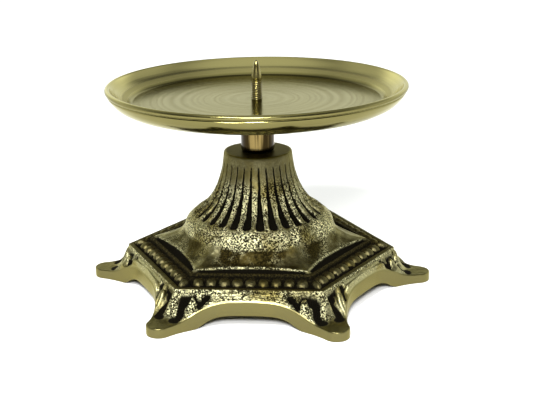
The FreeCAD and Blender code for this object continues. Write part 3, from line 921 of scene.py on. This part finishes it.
def washer_spring():
    """A split ring whose two ends stand slightly apart in height."""
    outer = max(SPRING_HIGH.x, SPRING_R)
    low, high = SPRING_LOW.z, SPRING_HIGH.z
    section = [(HOLE_R, 0.9), (HOLE_R + 0.1, 1.0), (outer - 0.1, 1.0), (outer, 0.9), (outer, 0.1),
               (outer - 0.1, 0.0), (HOLE_R + 0.1, 0.0), (HOLE_R, 0.10)]
    thick = high - low - SPRING_STEP
    rings = []
    for a in np.linspace(SPRING_GAP, 2 * math.pi - SPRING_GAP, 90):
        rise = low + SPRING_STEP * a / (2 * math.pi)
        rings.append(np.array([[r * math.cos(a), r * math.sin(a), rise + thick * h] for r, h in section]))
    return rings_object("spring_washer_split", rings, capped=True, smooth_angle=30)


def nut():
    """A hexagon nut with chamfered corners and a threaded bore."""
    low, high = NUT_LOW.z, NUT_HIGH.z
    flat = NUT_HIGH.y
    count = 96
    angle = np.arange(count) * 2 * math.pi / count
    off = (angle % (math.pi / 3)) - math.pi / 6
    hexagon = flat / np.cos(off)
    corner = flat / COS_HALF
    bore = STUD_R + RUNNING_GAP
    rings = []

    def level(radius, z):
        radius = np.broadcast_to(radius, count)
        z = np.broadcast_to(z, count)
        rings.append(np.column_stack([radius * np.cos(angle), radius * np.sin(angle), z]))

    level(bore, low + 0.4)
    level(bore + 0.45, low)
    level(flat - 0.15, low)
    drop = np.clip((hexagon - flat) / (corner - flat), 0, 1)
    level(hexagon, low + 0.1 + 0.55 * drop)
    level(hexagon, (low + high) / 2)
    level(hexagon, high - 0.1 - 0.55 * drop)
    level(flat - 0.15, high)
    level(bore + 0.45, high)
    level(bore, high - 0.4)
    turns = 32
    for k in range(1, turns):
        z = high - 0.4 - (high - low - 0.8) * k / turns
        phase = (z / THREAD_PITCH - angle / (2 * math.pi)) % 1
        level(bore + 0.3 * abs(2 * phase - 1), z)
    return rings_object("hex_nut_chamfered", rings, loop=True, smooth_angle=35)


# ---------------------------------------------------------------- assembly
def dress(piece, material, body, node):
    piece.data.materials.clear()
    piece.data.materials.append(material)
    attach(piece, body)
    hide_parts(node)


steel = plated_steel()
dress(casting(), cast_brass(), "foot", "base_casting")
dress(stud(), stud_brass(), "foot", "pricket_stud")
dress(washer_flat(), steel, "foot", "flat_washer")
dress(washer_spring(), steel, "foot", "spring_washer")
dress(nut(), steel, "foot", "hex_nut")
dress(collar_tube(), collar_brass(), "collar", "collar")
dress(pan(), turned_brass(), "pan", "drip_pan")


# ---------------------------------------------------------------- camera, floor and light
CAMERA_AZIMUTH = math.radians(5.286)
CAMERA_ELEVATION = math.radians(18.074)
CAMERA_YAW = 0.00756
CAMERA_ROLL = -0.01988
CAMERA_DISTANCE = 0.44619
CAMERA_TARGET = Vector((0, 0, 0.03507))
CAMERA_LENS = 67.35
FLOOR_HALF = 12.0


def camera():
    """A short telephoto from in front, a little to the right, about 18 degrees above."""
    azimuth, elevation, yaw, roll = CAMERA_AZIMUTH, CAMERA_ELEVATION, CAMERA_YAW, CAMERA_ROLL
    back = Vector((math.sin(azimuth) * math.cos(elevation), -math.cos(azimuth) * math.cos(elevation),
                   math.sin(elevation)))
    forward = -back
    right = forward.cross(Vector((0, 0, 1))).normalized()
    up = right.cross(forward)
    forward, right = (math.cos(yaw) * forward + math.sin(yaw) * right,
                      math.cos(yaw) * right - math.sin(yaw) * forward)
    right, up = (math.cos(roll) * right + math.sin(roll) * up, math.cos(roll) * up - math.sin(roll) * right)
    data = bpy.data.cameras.new("camera")
    data.lens = CAMERA_LENS
    data.sensor_width = 36.0
    data.clip_start = 0.01
    eye = bpy.data.objects.new("camera", data)
    turn_matrix = Matrix((right, up, -forward)).transposed().to_4x4()
    eye.matrix_world = Matrix.Translation(CAMERA_TARGET + back * CAMERA_DISTANCE) @ turn_matrix
    bpy.context.scene.collection.objects.link(eye)
    bpy.context.scene.camera = eye


def floor():
    """A pale floor, wide enough that its edge isn't seen."""
    mesh = bpy.data.meshes.new("floor")
    corners = [(x * FLOOR_HALF, y * FLOOR_HALF, 0) for x, y in ((-1, -1), (1, -1), (1, 1), (-1, 1))]
    mesh.from_pydata(corners, [], [(0, 1, 2, 3)])
    plane = bpy.data.objects.new("floor", mesh)
    bpy.context.scene.collection.objects.link(plane)
    g = Graph(bpy.data.materials.new("floor_mat"))
    g.shader.inputs["Base Color"].default_value = colour(0.88, 0.88, 0.87)
    g.shader.inputs["Roughness"].default_value = 0.9
    mesh.materials.append(g.owner)


def softbox(name, place, width, height, power):
    """A rectangular lamp at a place, turned towards the foot of the object."""
    data = bpy.data.lights.new(name, "AREA")
    data.shape = "RECTANGLE"
    data.size = width
    data.size_y = height
    data.energy = power
    lamp = bpy.data.objects.new(name, data)
    lamp.location = place
    lamp.rotation_euler = (Vector((0, 0, 0.03)) - Vector(place)).to_track_quat("-Z", "Y").to_euler()
    bpy.context.scene.collection.objects.link(lamp)


def studio():
    """A dim room: pale low behind and at the sides, dark in front and pale overhead. Two soft lamps stand
    in front, and a broad one above is hidden from reflections."""
    world = bpy.data.worlds.new("studio")
    bpy.context.scene.world = world
    g = Graph(world, "Generated")
    x, y, z = g.split()
    behind = g.ramp(y, -0.55, 0.30)
    low = g.ramp(z, 0.56, 0.36)
    overhead = g.ramp(z, 0.80, 0.97, 0.14, 0.95)
    beside = g.math("MULTIPLY", g.ramp(g.math("ABSOLUTE", x), 0.15, 0.50, 0.0, 0.62), g.ramp(z, 0.97, 0.70))
    room = g.math("MULTIPLY_ADD", beside, behind, overhead)
    glow = g.math("MULTIPLY_ADD", g.math("MULTIPLY", behind, low), 1.05, room)
    g.feed(colour(0.97, 1.0, 0.97), g.shader.inputs["Color"])
    g.feed(glow, g.shader.inputs["Strength"])
    softbox("key", (0.05, -0.98, 0.66), 0.26, 0.20, 18)
    softbox("second", (-0.27, -0.78, 0.98), 0.22, 0.16, 13)
    wash = bpy.data.objects.new("wash", bpy.data.lights.new("wash", "SUN"))
    wash.data.energy = 1.35
    wash.data.angle = 1.4
    bpy.context.scene.collection.objects.link(wash)
    wash.visible_glossy = False


camera()
floor()
studio()
bpy.context.scene.view_settings.view_transform = "Standard"
